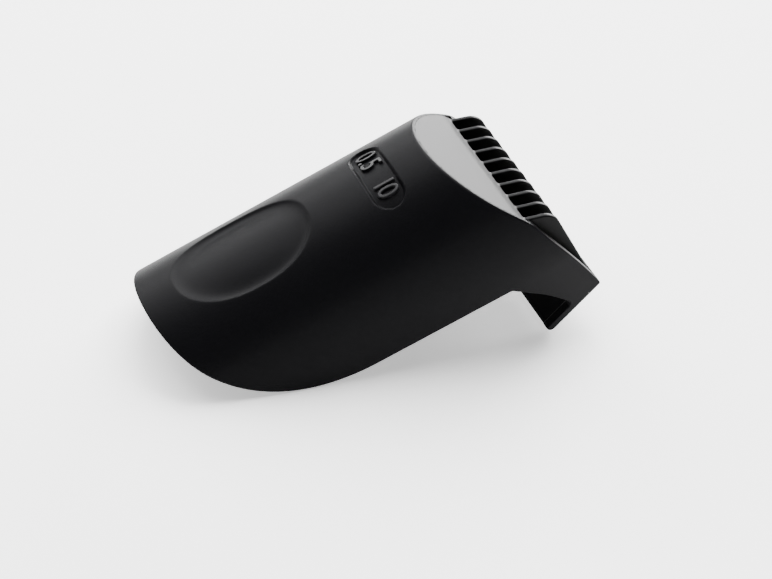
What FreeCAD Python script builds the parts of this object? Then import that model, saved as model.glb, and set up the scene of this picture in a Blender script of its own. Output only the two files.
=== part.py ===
import FreeCAD, Part
import math
import os

import Sketcher

# Guide comb of a hair clipper: an arched hood that slides over the clipper's head, with a slanted
# front face, ten teeth and a front lip.
# Every piece is drawn in the comb's own axes: the ridge of the hood runs along Y at z = 0, the teeth
# point to +Y, and the front face meets the ridge at the origin. One common placement then lays the
# comb down as it rests on a table, on its lip and on the rear of its skirt.

DIMENSIONS = [
    # alias, value (mm or degrees), what it is
    ("half_width", 17.9, "half width of the hood at its lower edge"),
    ("hood_height", 24.15, "ridge down to the skirt's lower edge"),
    ("crown_radius", 16.2, "radius of the top arc of the arch"),
    ("wall", 1.6, "wall of the hood"),
    ("rim", 0.65, "thin rim left round the front face"),
    ("seam", 0.1, "gap between the hood and the pieces set in it"),
    ("bend_y", 24.0, "where the skirt's edge starts to curve up, behind the front face"),
    ("skirt_rise", 0.9, "how much higher the skirt's edge is there than at the cheeks"),
    ("tongue_radius", 32.3, "side-view radius of the rounded rear end"),
    ("facet_angle", 52.6, "slope of the front face below the ridge line, degrees"),
    ("facet_reach", 16.6, "length of the flat front face"),
    ("corner_y", 16.21, "corner in the front edge of the cheek"),
    ("corner_drop", 27.6, "that corner below the ridge"),
    ("facet_depth", 2.2, "thickness of the insert's front face"),
    ("lip_tip_y", 18.1, "front tip of the lip"),
    ("lip_tip_drop", 34.45, "front tip of the lip below the ridge"),
    ("lip_back_y", 6.35, "rear edge of the lip"),
    ("lip_back_drop", 40.05, "rear edge of the lip below the ridge"),
    ("lip_wall", 1.2, "thickness of the lip"),
    ("notch_y", 2.5, "where the skirt's edge meets the cheek"),
    ("cheek_end_y", 10.6, "where the cheek's lower edge turns down"),
    ("cheek_end_drop", 32.3, "that place below the ridge"),
    ("cheek_foot_y", 11.8, "where the cheek runs into the lip"),
    ("cheek_foot_drop", 34.8, "that place below the ridge"),
    ("window_reach", 6.0, "how far the opening in the cheek reaches along the lip"),
    ("root_reach", 16.35, "length of the front face down to the tooth roots"),
    ("tooth_pitch", 3.2, "tooth spacing"),
    ("tooth_count", 10, "number of teeth"),
    ("tooth_width", 0.95, "tooth thickness"),
    ("tooth_top", 4.74, "forward length of a tooth's top ridge"),
    ("tooth_fall", 2.06, "fall of a tooth's top ridge"),
    ("tooth_nose", 1.5, "cut of a tooth's front corner"),
    ("tooth_depth", 5.0, "depth of a tooth at the lip"),
    ("thumb_y", 34.8, "thumb recess centre, behind the front face"),
    ("thumb_length", 25.5, "thumb recess length"),
    ("thumb_width", 16.2, "thumb recess width"),
    ("thumb_depth", 0.8, "thumb recess depth"),
    ("label_y", 8.9, "number recess centre, behind the front face"),
    ("label_length", 15.6, "number recess length across the hood"),
    ("label_width", 6.15, "number recess width along the hood"),
    ("label_depth", 0.65, "number recess depth"),
    ("digit_height", 3.4, "height of the numbers"),
    ("digit_width", 1.95, "width of the numbers"),
    ("digit_stroke", 0.55, "stroke of the numbers"),
    ("digit_rise", 0.35, "how far the numbers stand out of their recess"),
    ("rail_length", 29.7, "length of a guide rail"),
    ("rail_front", 2.3, "rail front end behind the front face"),
    ("rail_width", 1.9, "how far a rail stands in from the wall"),
    ("rail_thick", 1.6, "rail thickness"),
    ("rail_drop", 19.6, "top of a rail below the ridge"),
    ("notch_pitch", 2.3, "spacing of the length notches in a rail"),
    ("notch_count", 10, "number of length notches"),
    ("notch_size", 0.7, "length of a notch, and its depth"),
    ("arm_length", 14.5, "length of a catch arm"),
    ("arm_thick", 1.1, "thickness of a catch arm"),
    ("arm_height", 4.1, "height of a catch arm"),
    ("arm_drop", 15.3, "top of a catch arm below the ridge"),
    ("arm_x", 12.8, "inner face of a catch arm"),
    ("arm_nose", 0.9, "how far the catch stands in"),
    ("arm_gap", 0.2, "gap between a catch arm and its anchor"),
    ("anchor_length", 3.4, "length of a catch arm's anchor block"),
    ("anchor_width", 2.1, "width of a catch arm's anchor block"),
    ("rest_angle", 24.8, "nose-up angle at which the comb rests, degrees"),
    ("rest_y", 9.03, "shift that centres the resting comb"),
    ("rest_z", 33.71, "shift that stands the resting comb on z = 0"),
]

doc = FreeCAD.newDocument("guide_comb")
sheet = doc.addObject("Spreadsheet::Sheet", "dims")
for row, (alias, number, meaning) in enumerate(DIMENSIONS, start=1):
    sheet.set(f"A{row}", meaning)
    sheet.set(f"B{row}", str(number))
    sheet.setAlias(f"B{row}", alias)
doc.recompute()


class Size:
    """A size worked out from the sheet: its value now, and the expression that keeps it up to date."""

    def __init__(self, value, text=None):
        self.value = float(value)
        self.text = text if text is not None else repr(float(value))

    def combine(self, other, sign, result):
        other = other if isinstance(other, Size) else Size(other)
        return Size(result(self.value, other.value), f"({self.text} {sign} {other.text})")

    def __add__(self, other):
        return self.combine(other, "+", lambda a, b: a + b)

    def __sub__(self, other):
        return self.combine(other, "-", lambda a, b: a - b)

    def __mul__(self, other):
        return self.combine(other, "*", lambda a, b: a * b)

    def __truediv__(self, other):
        return self.combine(other, "/", lambda a, b: a / b)

    def __neg__(self):
        return self * -1.0


def dim(alias):
    """One driving dimension of the sheet."""
    return Size(sheet.get(alias), f"dims.{alias}")


def sine(angle):
    return Size(math.sin(math.radians(angle.value)), f"sin({angle.text})")


def cosine(angle):
    return Size(math.cos(math.radians(angle.value)), f"cos({angle.text})")


def root(size):
    return Size(math.sqrt(size.value), f"sqrt({size.text})")


ZERO = Size(0)
LEFT_AND_RIGHT = (("left", -1.0), ("right", 1.0))


# ---- helpers for bodies and sketches ----

def new_body(name):
    body = doc.addObject("PartDesign::Body", name)
    body.Label = name
    return body


def new_sketch(body, name, role, shift=ZERO):
    """A sketch on one of the body's origin planes, moved along its normal."""
    sketch = body.newObject("Sketcher::SketchObject", name)
    plane = next(item for item in body.Origin.OriginFeatures if item.Role == role)
    sketch.AttachmentSupport = [(plane, "")]
    sketch.MapMode = "FlatFace"
    sketch.AttachmentOffset = FreeCAD.Placement(FreeCAD.Vector(0, 0, shift.value), FreeCAD.Rotation())
    sketch.setExpression("AttachmentOffset.Base.z", shift.text)
    return sketch


def add_loop(sketch, points):
    """A closed loop. A point is (x, y), or (x, y, radius) when an arc, turning left, leads from it."""
    first = sketch.GeometryCount
    count = len(points)
    flat = [FreeCAD.Vector(point[0].value, point[1].value, 0) for point in points]
    for index, point in enumerate(points):
        start, end = flat[index], flat[(index + 1) % count]
        if len(point) == 2:
            sketch.addGeometry(Part.LineSegment(start, end), False)
            continue
        radius = point[2].value
        chord = end - start
        rise = math.sqrt(radius ** 2 - chord.Length ** 2 / 4)
        side = FreeCAD.Vector(-chord.y, chord.x, 0) / chord.Length
        centre = (start + end) / 2 + side * rise
        begin = math.atan2(start.y - centre.y, start.x - centre.x)
        finish = math.atan2(end.y - centre.y, end.x - centre.x)
        circle = Part.Circle(centre, FreeCAD.Vector(0, 0, 1), radius)
        sketch.addGeometry(Part.ArcOfCircle(circle, begin, finish), False)
    for index, point in enumerate(points):
        edge = first + index
        following = first + (index + 1) % count
        sketch.addConstraint(Sketcher.Constraint("Coincident", edge, 2, following, 1))
        for kind, size in (("DistanceX", point[0]), ("DistanceY", point[1])):
            number = sketch.addConstraint(Sketcher.Constraint(kind, edge, 1, size.value))
            sketch.setExpression(f"Constraints[{number}]", size.text)
        if len(point) == 3:
            number = sketch.addConstraint(Sketcher.Constraint("Radius", edge, point[2].value))
            sketch.setExpression(f"Constraints[{number}]", point[2].text)


def pad(body, sketch, length, both_ways=False):
    feature = body.newObject("PartDesign::Pad", sketch.Name + "_pad")
    feature.Profile = sketch
    feature.Midplane = both_ways
    feature.Length = length.value
    feature.setExpression("Length", length.text)
    body.Tip = feature
    return feature


def repeat_along(body, feature, sketch, axis, span, count):
    pattern = body.newObject("PartDesign::LinearPattern", feature.Name + "_row")
    pattern.Originals = [feature]
    pattern.Direction = (sketch, [axis])
    pattern.Length = span.value
    pattern.Occurrences = int(count.value)
    pattern.setExpression("Length", span.text)
    pattern.setExpression("Occurrences", count.text)
    body.Tip = pattern
    return pattern


def combine(kind, name, base, tool):
    """Part::Cut, Part::Fuse or Part::Common of two objects."""
    result = doc.addObject(kind, name)
    result.Label = name
    result.Base = base
    result.Tool = tool
    return result


# ---- driving points, in the comb's own axes ----

width, height, crown = dim("half_width"), dim("hood_height"), dim("crown_radius")
flank = (width * width + height * height - height * crown * 2) / ((width - crown) * 2)
facet_cos, facet_sin = cosine(dim("facet_angle")), sine(dim("facet_angle"))
lip_run = dim("lip_tip_y") - dim("lip_back_y")
lip_rise = dim("lip_back_drop") - dim("lip_tip_drop")
lip_length = root(lip_run * lip_run + lip_rise * lip_rise)
lip_y, lip_z = lip_run / lip_length, lip_rise / lip_length
skirt = -height


def on_facet(reach, inward=ZERO):
    """A point (y, z) down the front face, and inward from it."""
    return (reach * facet_cos - inward * facet_sin, -(reach * facet_sin) - inward * facet_cos)


def on_lip(forward, inward):
    """A point (y, z) along the lip from its rear edge, and inward from its outer face."""
    y = dim("lip_back_y") + lip_y * forward - lip_z * inward
    z = -dim("lip_back_drop") + lip_z * forward + lip_y * inward
    return (y, z)


def arch_loop(inset, skirt_drop=ZERO):
    """The arch of the hood seen from the front: three arcs, inset from the outside, open to below."""
    share = (crown - inset) / (flank - crown)
    foot_x = width - inset
    join_x, join_z = (flank - width) * share, (height - crown) * share - crown
    loop = [(foot_x, skirt, flank - inset), (join_x, join_z, crown - inset), (-join_x, join_z, flank - inset)]
    loop += [(-foot_x, skirt)]
    if skirt_drop.value > 0:
        loop += [(-foot_x, skirt - skirt_drop), (foot_x, skirt - skirt_drop)]
    return loop


def arch_pad(body, name, inset, front, length, skirt_drop=ZERO):
    """The arch as a bar along Y, from its front end backwards (the XZ plane's normal is -Y)."""
    sketch = new_sketch(body, name, "XZ_Plane", shift=-front)
    add_loop(sketch, arch_loop(inset, skirt_drop))
    return pad(body, sketch, length)


# ---- hood shell ----

far, ahead = Size(60), Size(30)


def long_arch(name, inset):
    """The arch with its sides carried straight down past the lip, as a bar longer than the comb."""
    body = new_body(name)
    arch_pad(body, name + "_arch", inset, ahead, ahead + far, Size(20))
    return body


def side_outline():
    """The comb seen from the side: rounded rear, skirt, notch, cheek, lip, front edge, front face, ridge."""
    body = new_body("side_outline")
    sketch = new_sketch(body, "outline_side", "YZ_Plane")
    radius = dim("tongue_radius")
    run = dim("bend_y") + dim("notch_y")
    slant = root(run * run + dim("skirt_rise") * dim("skirt_rise"))
    bend = (-dim("bend_y"), skirt + dim("skirt_rise"))
    centre_y = bend[0] + radius * dim("skirt_rise") / slant
    centre_z = bend[1] + radius * run / slant
    top = Size(2)
    end_y = centre_y - root(radius * radius - (centre_z - top) * (centre_z - top))
    add_loop(sketch, [
        (end_y, top, radius), bend, (dim("notch_y"), skirt), on_lip(ZERO, ZERO), on_lip(lip_length, ZERO),
        (dim("corner_y"), -dim("corner_drop")), on_facet(dim("facet_reach")), on_facet(Size(-2.5))])
    pad(body, sketch, Size(60), both_ways=True)
    return body


def side_windows():
    """The openings in both cheeks, between the skirt's edge and the lip."""
    body = new_body("side_windows")
    sketch = new_sketch(body, "window_side", "YZ_Plane")
    add_loop(sketch, [
        (dim("notch_y"), skirt), on_lip(Size(-8), dim("lip_wall")), on_lip(dim("window_reach"), dim("lip_wall")),
        (dim("cheek_foot_y"), -dim("cheek_foot_drop")), (dim("cheek_end_y"), -dim("cheek_end_drop"))])
    pad(body, sketch, Size(60), both_ways=True)
    return body


def make_hood_inner():
    """All that is hollow: inside the arch and above the lip."""
    body = new_body("above_lip")
    sketch = new_sketch(body, "above_lip_side", "YZ_Plane")
    top, bottom = Size(5), Size(-50)
    add_loop(sketch, [
        (-far, top), (-far, bottom), on_lip(Size(-8), dim("lip_wall")), on_lip(Size(22), dim("lip_wall")),
        (ahead, top)])
    pad(body, sketch, Size(60), both_ways=True)
    return combine("Part::Common", "hood_inner", long_arch("inner_bar", dim("wall")), body)


def facet_slab(name, reach, depth):
    """A plate behind the front face, as wide as the comb."""
    body = new_body(name)
    sketch = new_sketch(body, name + "_side", "YZ_Plane")
    start = Size(-4)
    proud = Size(-1) if name == "seat_slab" else ZERO
    add_loop(sketch, [
        on_facet(start, proud), on_facet(start, depth), on_facet(reach, depth), on_facet(reach, proud)])
    pad(body, sketch, Size(60), both_ways=True)
    return body


def arch_bar(name, inset):
    body = new_body(name)
    arch_pad(body, name + "_arch", inset, Size(20), Size(40))
    return body


def crown_cylinder(name, drop):
    """The crown of the hood, sunk by a depth, as a cylinder along the ridge."""
    cylinder = doc.addObject("Part::Cylinder", name)
    cylinder.setExpression("Radius", f"dims.crown_radius - {drop.text}")
    cylinder.Height = 120
    cylinder.Placement = FreeCAD.Placement(
        FreeCAD.Vector(0, 60, -crown.value), FreeCAD.Rotation(FreeCAD.Vector(1, 0, 0), 90))
    cylinder.setExpression("Placement.Base.z", "-dims.crown_radius")
    return cylinder


def make_recesses():
    """The thumb recess and the number recess, each an upright block down to a curved floor."""
    thumb = new_body("thumb_block")
    sketch = new_sketch(thumb, "thumb_outline", "XY_Plane", shift=Size(-6))
    half, reach = dim("thumb_width") / 2, dim("thumb_length") / 2
    straight = reach - half
    front, back = straight - dim("thumb_y"), -straight - dim("thumb_y")
    top, bottom = reach - dim("thumb_y"), -reach - dim("thumb_y")
    add_loop(sketch, [
        (half, back), (half, front, half), (ZERO, top, half), (-half, front), (-half, back, half),
        (ZERO, bottom, half)])
    pad(thumb, sketch, Size(12))
    label = new_body("label_block")
    sketch = new_sketch(label, "label_outline", "XY_Plane", shift=Size(-6))
    half, reach = dim("label_width") / 2, dim("label_length") / 2 - dim("label_width") / 2
    front, back, middle = half - dim("label_y"), -half - dim("label_y"), -dim("label_y")
    add_loop(sketch, [
        (-reach, back), (reach, back, half), (reach + half, middle, half), (reach, front),
        (-reach, front, half), (-reach - half, middle, half)])
    pad(label, sketch, Size(12))
    thumb_cut = combine("Part::Cut", "thumb_recess", thumb, crown_cylinder("thumb_floor", dim("thumb_depth")))
    label_cut = combine("Part::Cut", "label_recess", label, crown_cylinder("label_floor", dim("label_depth")))
    return combine("Part::Fuse", "recesses", thumb_cut, label_cut)


def make_hood():
    outer = combine("Part::Common", "hood_outer", long_arch("outer_bar", ZERO), side_outline())
    hollow = combine("Part::Cut", "hood_hollowed", outer, make_hood_inner())
    open_sides = combine("Part::Cut", "hood_open_sides", hollow, side_windows())
    seat = combine("Part::Common", "insert_seat", arch_bar("seat_bar", dim("rim")),
                   facet_slab("seat_slab", dim("root_reach"), dim("facet_depth") + dim("seam")))
    seated = combine("Part::Cut", "hood_seated", open_sides, seat)
    return combine("Part::Cut", "hood_shell", seated, make_recesses())


# ---- comb insert ----

def make_insert():
    face = combine("Part::Common", "insert_face", arch_bar("face_bar", dim("rim") + dim("seam")),
                   facet_slab("face_slab", dim("root_reach"), dim("facet_depth")))
    teeth = new_body("teeth")
    span = dim("tooth_pitch") * (dim("tooth_count") - 1)
    sketch = new_sketch(teeth, "tooth_side", "YZ_Plane", shift=-(span / 2))
    inner = dim("lip_wall") + dim("seam")
    neck, depth = dim("root_reach") - 1.2, dim("facet_depth")
    root_y, root_z = on_facet(dim("root_reach"))
    tip_y, tip_z = root_y + dim("tooth_top"), root_z - dim("tooth_fall")
    nose = dim("tooth_nose")
    add_loop(sketch, [
        on_facet(neck), on_facet(neck, depth), on_lip(lip_length - dim("tooth_depth"), inner),
        on_lip(lip_length - 0.3, inner), (tip_y + nose * 0.3, tip_z - nose * 0.9),
        (tip_y - nose, tip_z + nose * 0.42), (root_y, root_z)])
    tooth = pad(teeth, sketch, dim("tooth_width"), both_ways=True)
    repeat_along(teeth, tooth, sketch, "N_Axis", span, dim("tooth_count"))
    return combine("Part::Fuse", "comb_insert", face, teeth)


# ---- raised numbers 0.5 and 10 ----

# strokes of a seven-stroke digit, in digit widths and heights: x, y, width, height (0 = one stroke)
STROKES = {
    "bottom": (0, 0, 1, 0), "middle": (0, 0.5, 1, 0), "top": (0, 1, 1, 0),
    "low_left": (0, 0, 0, 0.5), "high_left": (0, 0.5, 0, 0.5),
    "low_right": (1, 0, 0, 0.5), "high_right": (1, 0.5, 0, 0.5),
}
DIGITS = {
    "0": ("bottom", "top", "low_left", "high_left", "low_right", "high_right"),
    "5": ("top", "high_left", "middle", "low_right", "bottom"),
    "1": ("low_right", "high_right"),
    ".": ("dot",),
}
NUMBERS = (("0", -5.7), (".", -3.35), ("5", -2.55), ("1", 1.15), ("0", 3.55))


def make_stroke(index, left, stroke):
    """One upright block of a digit."""
    x, y, wide, tall = STROKES.get(stroke, (0, 0, 0, 0))
    box = doc.addObject("Part::Box", f"stroke_{index}")
    box.setExpression("Length", f"dims.digit_stroke + {wide} * (dims.digit_width - dims.digit_stroke)")
    box.setExpression("Width", f"dims.digit_stroke + {tall} * (dims.digit_height - dims.digit_stroke)")
    box.Height = 8
    box.setExpression("Placement.Base.x", f"{left} + {x} * (dims.digit_width - dims.digit_stroke)")
    box.setExpression(
        "Placement.Base.y", f"{y} * (dims.digit_height - dims.digit_stroke) - dims.label_y - dims.digit_height / 2")
    box.Placement.Base.z = -6
    return box


def make_numerals():
    boxes = []
    for digit, left in NUMBERS:
        for stroke in DIGITS[digit]:
            boxes.append(make_stroke(len(boxes), left, stroke))
    blocks = doc.addObject("Part::MultiFuse", "digit_blocks")
    blocks.Shapes = boxes
    outside = crown_cylinder("digit_tops", dim("label_depth") - dim("digit_rise"))
    layer = combine("Part::Cut", "digit_layer", outside, crown_cylinder("digit_feet", dim("label_depth")))
    return combine("Part::Common", "length_numerals", blocks, layer)


# ---- guide rails and catch arms ----

def make_rail(side_name, side):
    """A rail on the inside of the skirt, with its length notches and the anchor of the catch arm."""
    body = new_body("guide_rail_" + side_name)
    outer = dim("half_width") - dim("wall") - dim("seam") * 4
    inner, top = outer - dim("rail_width"), -dim("rail_drop")
    bottom = top - dim("rail_thick")
    section = new_sketch(body, f"rail_section_{side_name}", "XZ_Plane", shift=dim("rail_front"))
    corners = [(outer, bottom), (outer, top), (inner, top), (inner, bottom)]
    add_loop(section, [(x * side, z) for x, z in corners])
    pad(body, section, dim("rail_length"))
    anchor = new_sketch(body, f"anchor_section_{side_name}", "XZ_Plane", shift=dim("rail_front"))
    anchor_in, anchor_out = dim("arm_x"), dim("arm_x") + dim("anchor_width")
    corners = [(anchor_out, bottom), (anchor_out, -dim("arm_drop")), (anchor_in, -dim("arm_drop")),
               (anchor_in, bottom)]
    add_loop(anchor, [(x * side, z) for x, z in corners])
    pad(body, anchor, dim("anchor_length"))
    doc.recompute()
    solid = body.Shape.Volume
    notch = new_sketch(body, f"notch_side_{side_name}", "YZ_Plane", shift=inner * side)
    size = dim("notch_size")
    start = -dim("rail_front") - dim("anchor_length") - 2
    add_loop(notch, [(start, bottom - 1), (start, bottom + size), (start - size, bottom + size),
                     (start - size, bottom - 1)])
    cut = body.newObject("PartDesign::Pocket", f"notch_cut_{side_name}")
    cut.Profile = notch
    cut.Type = "ThroughAll"
    cut.Midplane = True
    body.Tip = cut
    row = repeat_along(body, cut, notch, "H_Axis", dim("notch_pitch") * (dim("notch_count") - 1),
                       dim("notch_count"))
    row.Reversed = True
    doc.recompute()
    one_notch = size.value ** 2 * dim("rail_width").value
    if solid - body.Shape.Volume < one_notch * (dim("notch_count").value - 1):
        raise ValueError("the rail's notches are missing")
    return body


def make_arm(side_name, side):
    """A springy arm behind the anchor, with a sloped catch at its free end."""
    body = new_body("snap_arm_" + side_name)
    sketch = new_sketch(body, f"arm_plan_{side_name}", "XY_Plane", shift=-dim("arm_drop") - dim("arm_height"))
    inner, nose = dim("arm_x"), dim("arm_x") - dim("arm_nose")
    outer = inner + dim("arm_thick")
    start = -dim("rail_front") - dim("anchor_length") - dim("arm_gap")
    end = start - dim("arm_length")
    corners = [(inner, start), (inner, end + 3), (nose, end + 2), (nose, end + 1.2), (inner, end), (outer, end),
               (outer, start)]
    add_loop(sketch, [(x * side, y) for x, y in corners])
    pad(body, sketch, dim("arm_height"))
    return body


# ---- put the comb together ----

pieces = [make_hood(), make_insert(), make_numerals()]
for side_name, side in LEFT_AND_RIGHT:
    pieces.append(make_rail(side_name, side))
    pieces.append(make_arm(side_name, side))

for piece in pieces:
    piece.Placement = FreeCAD.Placement(
        FreeCAD.Vector(0, dim("rest_y").value, dim("rest_z").value),
        FreeCAD.Rotation(FreeCAD.Vector(1, 0, 0), dim("rest_angle").value))
    piece.setExpression("Placement.Base.y", "dims.rest_y")
    piece.setExpression("Placement.Base.z", "dims.rest_z")
    piece.setExpression("Placement.Rotation.Angle", "dims.rest_angle")

doc.recompute()
for item in doc.Objects:
    if "Invalid" in item.State or "Error" in item.State:
        raise ValueError(f"{item.Name} failed: {item.State}")

os.makedirs("parts", exist_ok=True)
whole = FreeCAD.BoundBox()
for piece in pieces:
    shape = piece.Shape
    if shape.isNull() or not shape.isValid() or not shape.Solids:
        raise ValueError(f"{piece.Label} has no valid solid")
    whole.add(shape.optimalBoundingBox(False))
    shape.exportStep(f"parts/{piece.Label}.step")
    print(f"{piece.Label}: {len(shape.Solids)} solid(s), {shape.Volume:.1f} mm3")
print(f"box x {whole.XMin:.2f} {whole.XMax:.2f}, y {whole.YMin:.3f} {whole.YMax:.3f}, "
      f"z {whole.ZMin:.3f} {whole.ZMax:.3f}")
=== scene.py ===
import math

import bpy
import numpy as np
from mathutils import Matrix, Vector


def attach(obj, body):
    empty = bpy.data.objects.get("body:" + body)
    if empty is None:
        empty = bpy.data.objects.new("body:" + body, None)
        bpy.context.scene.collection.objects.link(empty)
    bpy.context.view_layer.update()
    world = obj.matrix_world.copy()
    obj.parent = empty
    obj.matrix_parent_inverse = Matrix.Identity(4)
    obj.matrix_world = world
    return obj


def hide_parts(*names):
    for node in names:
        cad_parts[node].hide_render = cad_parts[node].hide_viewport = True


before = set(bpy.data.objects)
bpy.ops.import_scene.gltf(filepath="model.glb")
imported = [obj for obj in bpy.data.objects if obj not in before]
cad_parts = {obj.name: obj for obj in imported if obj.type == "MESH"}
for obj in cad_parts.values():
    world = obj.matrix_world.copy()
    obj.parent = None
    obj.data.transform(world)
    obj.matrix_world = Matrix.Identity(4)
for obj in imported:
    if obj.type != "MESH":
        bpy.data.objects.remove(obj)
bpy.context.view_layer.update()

MM = 0.001

# ---- driving dimensions of the comb, in mm, in the comb's own axes ----
# The ridge runs along Y at z = 0, the teeth point to +Y, and the front face meets the ridge at the
# origin. REST lays the comb down on the table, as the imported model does.
HALF_WIDTH, HEIGHT, CROWN = 17.9, 24.15, 16.2
WALL, RIM, SEAM = 1.6, 0.65, 0.1
BEND_Y, SKIRT_RISE, TONGUE_RADIUS, NOTCH_Y = 24.0, 0.9, 32.3, 2.5
FACET_ANGLE, FACET_REACH, FACET_DEPTH, ROOT_REACH = math.radians(52.6), 16.6, 2.2, 16.35
CORNER, LIP_TIP, LIP_BACK, LIP_WALL = (16.2, -27.6), (18.1, -34.45), (6.35, -40.05), 1.2
CHEEK_END, CHEEK_FOOT = (10.6, -32.3), (11.8, -34.8)
TOOTH_PITCH, TOOTH_COUNT, TOOTH_WIDTH, TOOTH_TOP, TOOTH_FALL = 3.2, 10, 0.95, 4.74, 2.06
THUMB_Y, THUMB_LENGTH, THUMB_WIDTH, THUMB_DEPTH = 34.8, 25.5, 16.2, 0.95
LABEL_Y, LABEL_LENGTH, LABEL_WIDTH, LABEL_DEPTH = 8.9, 15.6, 6.15, 0.6
REST_ANGLE, REST_Y, REST_Z = math.radians(24.8), 9.03, 33.71

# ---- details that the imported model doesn't have, in mm ----
SEAM_COVER, INSERT_SINK = 0.12, 0.02  # the insert reaches under the rim, just below its face
DROOP, DROOP_START, DROOP_END = 0.35, 3.2, 0.8  # the front face sinks towards the tooth roots
LIP_STRIP = 0.5  # extra thickness of the lip below the opening in the cheek

FLANK = (HALF_WIDTH ** 2 + HEIGHT ** 2 - 2 * HEIGHT * CROWN) / (2 * (HALF_WIDTH - CROWN))
SIN_F, COS_F = math.sin(FACET_ANGLE), math.cos(FACET_ANGLE)
FACET_END = (FACET_REACH * COS_F, -FACET_REACH * SIN_F)
ROOT = (ROOT_REACH * COS_F, -ROOT_REACH * SIN_F)
REST = Matrix.Translation((0, REST_Y, REST_Z)) @ Matrix.Rotation(REST_ANGLE, 4, "X")


# ---- shapes as distance fields: negative inside, positive outside, in mm ----

def both(a, b, radius):
    """Inside both, with the edge between them rounded."""
    outside = np.hypot(np.maximum(a + radius, 0), np.maximum(b + radius, 0))
    return np.minimum(np.maximum(a, b), -radius) + outside


def either(a, b, radius):
    """Inside either, with the corner between them filled."""
    return -both(-a, -b, radius)


def line(y, z, start, end):
    """Distance to the right of the line from start to end, seen from +X with +Y to the right."""
    run, rise = end[0] - start[0], end[1] - start[1]
    length = math.hypot(run, rise)
    return ((y - start[0]) * rise - (z - start[1]) * run) / length


def step(low, high, value):
    """A smooth step from 0 at low to 1 at high."""
    t = np.clip((value - low) / (high - low), 0, 1)
    return t * t * (3 - 2 * t)


def arch(x, z, inset):
    """The hood's arch seen from the front: a crown arc and two flank arcs."""
    centre_x, centre_z = HALF_WIDTH - FLANK, -HEIGHT
    crown = np.hypot(x, z + CROWN) - CROWN
    flank = np.hypot(x - centre_x, np.maximum(z - centre_z, 0)) - FLANK
    on_crown = -centre_x * (z - centre_z) - (HEIGHT - CROWN) * (x - centre_x) > 0
    return np.where(on_crown, crown, flank) + inset


def skirt(y, z):
    """The skirt's lower edge and the rounded rear end, seen from the side."""
    run = BEND_Y + NOTCH_Y
    slant = math.hypot(run, SKIRT_RISE)
    bend_z = SKIRT_RISE - HEIGHT
    centre_y = -BEND_Y + TONGUE_RADIUS * SKIRT_RISE / slant
    centre_z = bend_z + TONGUE_RADIUS * run / slant
    tongue = np.hypot(y - centre_y, z - centre_z) - TONGUE_RADIUS
    edge = line(y, z, (-BEND_Y, bend_z), (NOTCH_Y, -HEIGHT))
    behind = (y + BEND_Y) * run - (z - bend_z) * SKIRT_RISE < 0
    return np.where(behind, tongue, edge)


def facet(y, z):
    """Distance in front of the front face."""
    return y * SIN_F + z * COS_F


def down_facet(y, z):
    """How far down the front face a point lies."""
    return y * COS_F - z * SIN_F


def lip(y, z):
    """Distance outside the lip's outer face."""
    return line(y, z, LIP_BACK, LIP_TIP)


def outer_form(x, y, z):
    """The outside of the hood, its cheeks and its lip, before the front face is cut."""
    side = either(skirt(y, z), -line(y, z, LIP_BACK, (NOTCH_Y, -HEIGHT)), 0.4)
    side = both(side, lip(y, z), 1.2)
    front = both(line(y, z, LIP_TIP, CORNER), line(y, z, CORNER, FACET_END), 1.0)
    side = both(side, front, 0.4)
    return both(arch(x, z, 0), side, 0.3)


def thumb_recess(x, y):
    """The shallow oval for the thumb, long along the ridge."""
    squareness, steepness, edge = 2.3, 10, 0.12
    across, along = x / (THUMB_WIDTH / 2), (y + THUMB_Y) / (THUMB_LENGTH / 2)
    reach = (np.abs(across) ** squareness + np.abs(along) ** squareness) ** (1 / squareness)
    bowl = 1 - np.minimum(reach, 2) ** steepness
    return THUMB_DEPTH * (bowl + np.hypot(bowl, edge)) / 2


def label_recess(x, y):
    """The pill-shaped recess of the numbers, long across the ridge."""
    half, slope_run = LABEL_WIDTH / 2, 0.55
    beyond = np.maximum(x - (LABEL_LENGTH / 2 - half), 0)
    return LABEL_DEPTH * (1 - step(half - slope_run, half, np.hypot(beyond, y + LABEL_Y)))


def hood_field(x, y, z):
    """The hood with its cheeks and lip, hollow, with the seat for the insert and the two openings."""
    x = np.abs(x)
    outside = outer_form(x, y, z)
    sunk = thumb_recess(x, y) + label_recess(x, y)
    in_crown = z > -9
    outside = outside + np.where(in_crown, sunk, 0)
    outside = both(outside, facet(y, z), 0.3)
    hollow = both(arch(x, z, WALL), lip(y, z) + LIP_WALL, 0.4)
    shell = both(outside, -hollow, 0.3)
    seat = np.maximum(arch(x, z, RIM), -facet(y, z) - FACET_DEPTH - SEAM)
    seat = np.maximum(seat, down_facet(y, z) - ROOT_REACH)
    shell = both(shell, -seat, 0.04)
    window = both(line(y, z, CHEEK_END, (NOTCH_Y, -HEIGHT)), line(y, z, CHEEK_FOOT, CHEEK_END), 2.0)
    window = both(window, lip(y, z) + LIP_WALL + LIP_STRIP, 1.2)
    window = np.maximum(window, NOTCH_Y - y)
    return both(shell, -window, 0.15)


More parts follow.
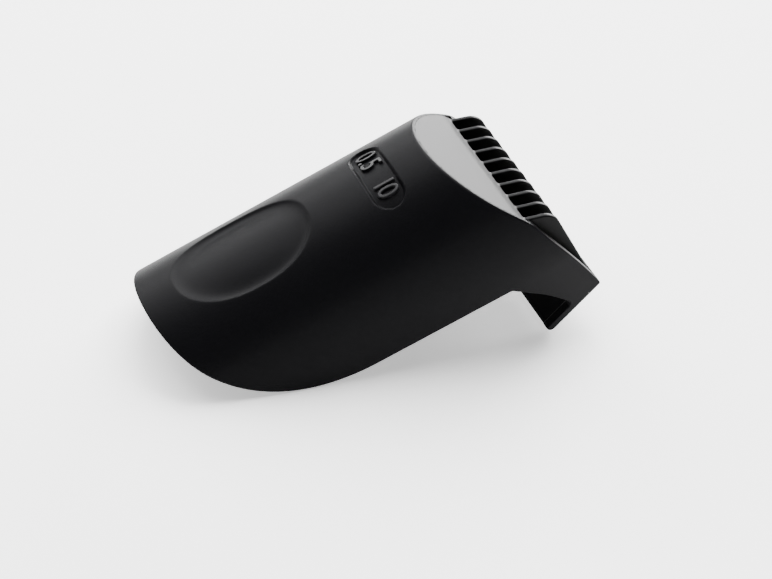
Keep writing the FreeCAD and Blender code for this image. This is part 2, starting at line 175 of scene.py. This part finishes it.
def insert_field(x, y, z):
    """The front face with its row of teeth."""
    x = np.abs(x)
    down = down_facet(y, z)
    droop = DROOP * step(ROOT_REACH - DROOP_START, ROOT_REACH + DROOP_END, down)
    top = facet(y, z) + droop + INSERT_SINK
    face = both(arch(x, z, RIM - SEAM_COVER), top, 0.02)
    face = both(face, -facet(y, z) - FACET_DEPTH, 0.2)
    face = both(face, down - ROOT_REACH, 0.7)
    nose = (ROOT[0] + TOOTH_TOP, ROOT[1] - TOOTH_FALL)
    side = both(line(y, z, nose, ROOT), line(y, z, (LIP_TIP[0] - 0.4, LIP_TIP[1]), nose), 1.8)
    side = both(side, lip(y, z) + LIP_WALL + SEAM, 0.2)
    rear = line(y, z, (ROOT[0] - 2.5, ROOT[1] - 0.4), (LIP_TIP[0] - 5.0, LIP_TIP[1] - 1.1))
    side = both(side, rear, 0.3)
    place = np.clip(np.floor(x / TOOTH_PITCH), 0, TOOTH_COUNT // 2 - 1)
    plate = np.abs(x - (place + 0.5) * TOOTH_PITCH) - TOOTH_WIDTH / 2
    tooth = both(side, plate, 0.3)
    return either(face, tooth, 0.25)


# ---- meshing a distance field ----

def sample(field, low, high, cell, block=5):
    """The field on a grid. Blocks far from the surface keep their centre's value."""
    blocks = [int(math.ceil((b - a) / cell / block)) for a, b in zip(low, high)]
    centres = np.meshgrid(*[a + (np.arange(n) * block + (block - 1) / 2) * cell
                            for a, n in zip(low, blocks)], indexing="ij")
    coarse = field(*centres)
    values = coarse.repeat(block, 0).repeat(block, 1).repeat(block, 2).astype(np.float32)
    near = np.argwhere(np.abs(coarse) < block * cell * 1.3)
    inner = np.stack(np.meshgrid(*[np.arange(block)] * 3, indexing="ij"), -1).reshape(-1, 3)
    index = (near[:, None, :] * block + inner[None]).reshape(-1, 3)
    points = np.array(low) + index * cell
    values[index[:, 0], index[:, 1], index[:, 2]] = field(*points.T)
    return values


def net(values, low, cell):
    """One vertex in each grid cell that the surface crosses, and a quad round each crossed edge."""
    inside = values < 0
    shape = np.array(values.shape)
    stride = np.array([shape[1] * shape[2], shape[2], 1])
    crossings, cells, quads = [], [], []
    for axis in range(3):
        here = [slice(None)] * 3
        there = [slice(None)] * 3
        here[axis], there[axis] = slice(None, -1), slice(1, None)
        edge = np.argwhere(inside[tuple(here)] != inside[tuple(there)])
        others = [a for a in range(3) if a != axis]
        edge = edge[(edge[:, others] > 0).all(1)]
        a = values[tuple(edge.T)]
        beyond = edge.copy()
        beyond[:, axis] += 1
        b = values[tuple(beyond.T)]
        point = edge.astype(float)
        point[:, axis] += a / (a - b)
        base = edge @ stride
        ring = [base, base - stride[others[0]], base - stride[others[0]] - stride[others[1]],
                base - stride[others[1]]]
        flip = (a < 0) == (axis == 1)
        ring = np.stack(ring, 1)
        ring[flip] = ring[flip][:, ::-1]
        quads.append(ring)
        for corner in range(4):
            cells.append(ring[:, corner])
            crossings.append(point)
    quads = np.concatenate(quads)
    cells, crossings = np.concatenate(cells), np.concatenate(crossings)
    used, which = np.unique(cells, return_inverse=True)
    total = np.bincount(which)
    middle = np.stack([np.bincount(which, crossings[:, i]) / total for i in range(3)], 1)
    return np.array(low) + middle * cell, np.searchsorted(used, quads)


def slope(field, points, reach=0.02):
    """The field's gradient at each point."""
    sides = []
    for axis in range(3):
        move = np.zeros(3)
        move[axis] = reach
        sides.append((field(*(points + move).T) - field(*(points - move).T)) / (2 * reach))
    return np.stack(sides, 1)


def settle(field, points, cell, rounds=3):
    """Moves each point onto the surface."""
    for _ in range(rounds):
        gradient = slope(field, points)
        size = np.maximum((gradient ** 2).sum(1), 0.2)
        move = field(*points.T)[:, None] * gradient / size[:, None]
        length = np.maximum(np.linalg.norm(move, axis=1), 1e-9)
        points = points - move * np.minimum(1, 0.6 * cell / length)[:, None]
    return points


def field_mesh(name, field, low, high, cell, keep):
    """A closed mesh of a field, thinned to a share of its faces, shaded with the field's own normals."""
    points, quads = net(sample(field, low, high, cell), low, cell)
    points = settle(field, points, cell)
    mesh = bpy.data.meshes.new(name)
    mesh.from_pydata(points.tolist(), [], quads.tolist())
    mesh.validate()
    piece = bpy.data.objects.new(name, mesh)
    bpy.context.collection.objects.link(piece)
    thin = piece.modifiers.new("thin", "DECIMATE")
    thin.ratio = keep
    graph = bpy.context.evaluated_depsgraph_get()
    thinned = bpy.data.meshes.new_from_object(piece.evaluated_get(graph))
    piece.modifiers.clear()
    piece.data = thinned
    count = len(thinned.vertices)
    flat = np.empty(count * 3)
    thinned.vertices.foreach_get("co", flat)
    points = settle(field, flat.reshape(-1, 3), cell, 2)
    normals = slope(field, points)
    normals /= np.maximum(np.linalg.norm(normals, axis=1), 1e-9)[:, None]
    turn = np.array(REST.to_3x3())
    points = (points @ turn.T + np.array(REST.translation)) * MM
    thinned.vertices.foreach_set("co", points.ravel())
    thinned.polygons.foreach_set("use_smooth", [True] * len(thinned.polygons))
    thinned.normals_split_custom_set_from_vertices((normals @ turn.T).tolist())
    thinned.update()
    return piece


# ---- materials ----

def plastic(name, colour, roughness, grain, grain_size, shine=0.035):
    """Moulded plastic: a fine spark-eroded grain, slightly uneven gloss and tone."""
    mottle = 0.12
    material = bpy.data.materials.new(name)
    material.use_nodes = True
    nodes, links = material.node_tree.nodes, material.node_tree.links
    shader = nodes["Principled BSDF"]
    place = nodes.new("ShaderNodeTexCoord")
    scale = nodes.new("ShaderNodeMapping")
    scale.inputs["Scale"].default_value = (1 / MM,) * 3
    links.new(place.outputs["Object"], scale.inputs["Vector"])

    def noise(size, detail):
        texture = nodes.new("ShaderNodeTexNoise")
        texture.inputs["Scale"].default_value = 1 / size
        texture.inputs["Detail"].default_value = detail
        links.new(scale.outputs["Vector"], texture.inputs["Vector"])
        return texture.outputs["Fac"]

    def spread(source, low, high):
        ramp = nodes.new("ShaderNodeMapRange")
        ramp.inputs["To Min"].default_value = low
        ramp.inputs["To Max"].default_value = high
        links.new(source, ramp.inputs["Value"])
        return ramp.outputs["Result"]

    cloud = noise(6.0, 3)
    fine = noise(grain_size, 4)
    tone = nodes.new("ShaderNodeMix")
    tone.data_type = "RGBA"
    tone.inputs["A"].default_value = (*[c * (1 - mottle) for c in colour], 1)
    tone.inputs["B"].default_value = (*[c * (1 + mottle) for c in colour], 1)
    links.new(cloud, tone.inputs["Factor"])
    links.new(tone.outputs["Result"], shader.inputs["Base Color"])
    links.new(spread(fine, roughness - 0.05, roughness + 0.05), shader.inputs["Roughness"])
    bump = nodes.new("ShaderNodeBump")
    bump.inputs["Strength"].default_value = grain
    bump.inputs["Distance"].default_value = grain_size * MM * 0.5
    links.new(fine, bump.inputs["Height"])
    links.new(bump.outputs["Normal"], shader.inputs["Normal"])
    shader.inputs["IOR"].default_value = 1.5
    shader.inputs["Specular IOR Level"].default_value = shine
    return material


SHELL_BLACK = plastic("shell_satin_black", (0.0034, 0.0034, 0.004), 0.42, 0.25, 0.16)
INSERT_BLACK = plastic("insert_satin_black", (0.0025, 0.0025, 0.0028), 0.38, 0.12, 0.14)
NUMERAL_BLACK = plastic("numeral_satin_black", (0.012, 0.012, 0.013), 0.28, 0.10, 0.14, shine=0.14)
RAIL_BLACK = plastic("rail_plain_black", (0.006, 0.006, 0.006), 0.48, 0.20, 0.20)
ARM_BLACK = plastic("arm_acetal_black", (0.010, 0.010, 0.010), 0.34, 0.10, 0.20)


def wear(piece, material):
    piece.data.materials.clear()
    piece.data.materials.append(material)


# ---- pieces ----

def make_hood():
    hood = field_mesh("hood_visual", hood_field, (-18.7, -55.0, -41.0), (18.7, 19.0, 1.0), 0.22, 0.4)
    wear(hood, SHELL_BLACK)
    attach(hood, "comb")
    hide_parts("hood_shell")


def make_insert():
    insert = field_mesh("insert_visual", insert_field, (-18.7, -1.2, -37.0), (18.7, 19.0, 1.0), 0.17, 0.4)
    wear(insert, INSERT_BLACK)
    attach(insert, "comb")
    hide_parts("comb_insert")


# each number, its middle across the hood in mm, and its letter spacing
NUMBERS = (("0.5", -3.7, 1.0), ("10", 3.75, 0.8))
DIGIT_HEIGHT, DIGIT_RISE, DIGIT_HALF_DEPTH = 3.8, 0.5, 0.4
FONT_CAP_SHARE, DIGIT_SQUEEZE = 0.7, 0.72  # a digit's height in font sizes, and how much it is narrowed


def make_numbers():
    """The raised numbers, bent over the crown of the hood and joined in one mesh."""
    points, faces = [], []
    for words, centre, spacing in NUMBERS:
        curve = bpy.data.curves.new("number_" + words.replace(".", "_"), "FONT")
        curve.body = words
        curve.align_x, curve.align_y = "CENTER", "CENTER"
        curve.size = DIGIT_HEIGHT / FONT_CAP_SHARE
        curve.extrude = 0.3
        curve.bevel_depth = 0.14
        curve.bevel_resolution = 3
        curve.offset = -0.08
        curve.space_character = spacing
        holder = bpy.data.objects.new(curve.name, curve)
        bpy.context.collection.objects.link(holder)
        graph = bpy.context.evaluated_depsgraph_get()
        mesh = bpy.data.meshes.new_from_object(holder.evaluated_get(graph))
        start = len(points)
        for vertex in mesh.vertices:
            x, y, z = vertex.co
            x = x * DIGIT_SQUEEZE + centre
            floor = math.sqrt((CROWN - LABEL_DEPTH) ** 2 - x * x) - CROWN
            place = Vector((x, y - LABEL_Y, z + floor + DIGIT_RISE - DIGIT_HALF_DEPTH))
            points.append(REST @ place * MM)
        faces += [[start + index for index in polygon.vertices] for polygon in mesh.polygons]
        bpy.data.objects.remove(holder)
        bpy.data.curves.remove(curve)
        bpy.data.meshes.remove(mesh)
    mesh = bpy.data.meshes.new("numbers_visual")
    mesh.from_pydata(points, [], faces)
    mesh.validate()
    mesh.shade_smooth()
    numbers = bpy.data.objects.new("numbers_visual", mesh)
    bpy.context.collection.objects.link(numbers)
    wear(numbers, NUMERAL_BLACK)
    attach(numbers, "comb")
    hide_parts("length_numerals")


def finish_cad_nodes():
    """The rails and catch arms keep their CAD shape and get their plastics."""
    for side in ("left", "right"):
        for node, material in (("guide_rail_" + side, RAIL_BLACK), ("snap_arm_" + side, ARM_BLACK)):
            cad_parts[node].data.materials.clear()
            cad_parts[node].data.materials.append(material)


make_hood()
make_insert()
make_numbers()
finish_cad_nodes()


# ---- floor, light and camera ----

def make_floor():
    mesh = bpy.data.meshes.new("floor")
    reach = 3.0
    mesh.from_pydata([(-reach, -reach, 0), (reach, -reach, 0), (reach, reach, 0), (-reach, reach, 0)], [],
                     [(0, 1, 2, 3)])
    floor = bpy.data.objects.new("floor", mesh)
    bpy.context.collection.objects.link(floor)
    material = bpy.data.materials.new("floor_white")
    material.use_nodes = True
    shader = material.node_tree.nodes["Principled BSDF"]
    shader.inputs["Base Color"].default_value = (0.95, 0.95, 0.95, 1)
    shader.inputs["Roughness"].default_value = 0.9
    shader.inputs["Specular IOR Level"].default_value = 0.1
    shader.inputs["Emission Color"].default_value = (1, 1, 1, 1)
    shader.inputs["Emission Strength"].default_value = 0.55
    mesh.materials.append(material)


def make_light(name, azimuth, elevation, distance, size, power):
    """A rectangular soft light that looks at the comb, placed by its azimuth and elevation."""
    lamp = bpy.data.lights.new(name, "AREA")
    lamp.shape = "RECTANGLE"
    lamp.size, lamp.size_y = size
    lamp.energy = power
    holder = bpy.data.objects.new(name, lamp)
    bpy.context.collection.objects.link(holder)
    a, e = math.radians(azimuth), math.radians(elevation)
    back = Vector((math.sin(a) * math.cos(e), -math.cos(a) * math.cos(e), math.sin(e)))
    holder.location = Vector((0, 0, 0.012)) + back * distance
    holder.rotation_mode = "QUATERNION"
    holder.rotation_quaternion = (-back).to_track_quat("-Z", "Y")


def make_camera():
    """Placed by azimuth, elevation and distance round a point inside the hood."""
    azimuth, elevation, roll = math.radians(59.81), math.radians(41.58), math.radians(8.93)
    distance, lens, across, up_by = 287.81, 78.1, 6.85, -11.24
    aim = REST @ Vector((0, -15, -8))
    back = Vector((math.sin(azimuth) * math.cos(elevation), -math.cos(azimuth) * math.cos(elevation),
                   math.sin(elevation)))
    right = Vector((math.cos(azimuth), math.sin(azimuth), 0))
    up = back.cross(right)
    place = aim + back * distance + right * across + up * up_by
    right, up = right * math.cos(roll) + up * math.sin(roll), up * math.cos(roll) - right * math.sin(roll)
    camera = bpy.data.objects.new("camera", bpy.data.cameras.new("camera"))
    bpy.context.collection.objects.link(camera)
    camera.data.lens = lens
    camera.data.sensor_width = 36
    camera.data.clip_start = 0.01
    camera.location = place * MM
    camera.rotation_mode = "QUATERNION"
    camera.rotation_quaternion = Matrix((right, up, back)).transposed().to_quaternion()
    bpy.context.scene.camera = camera


def make_world(level):
    world = bpy.data.worlds.new("studio")
    world.use_nodes = True
    world.node_tree.nodes["Background"].inputs["Color"].default_value = (1, 1, 1, 1)
    world.node_tree.nodes["Background"].inputs["Strength"].default_value = level
    bpy.context.scene.world = world


make_floor()
make_light("key_front", 220, 8, 0.9, (0.6, 0.3), 23)
make_light("rim_far", 292, 25, 0.9, (0.9, 0.3), 11)
make_light("top_far", 288, 60, 1.2, (1.0, 1.0), 26)
make_light("floor_wash", 228, 52, 1.3, (1.2, 1.2), 60)
make_world(0.15)
make_camera()
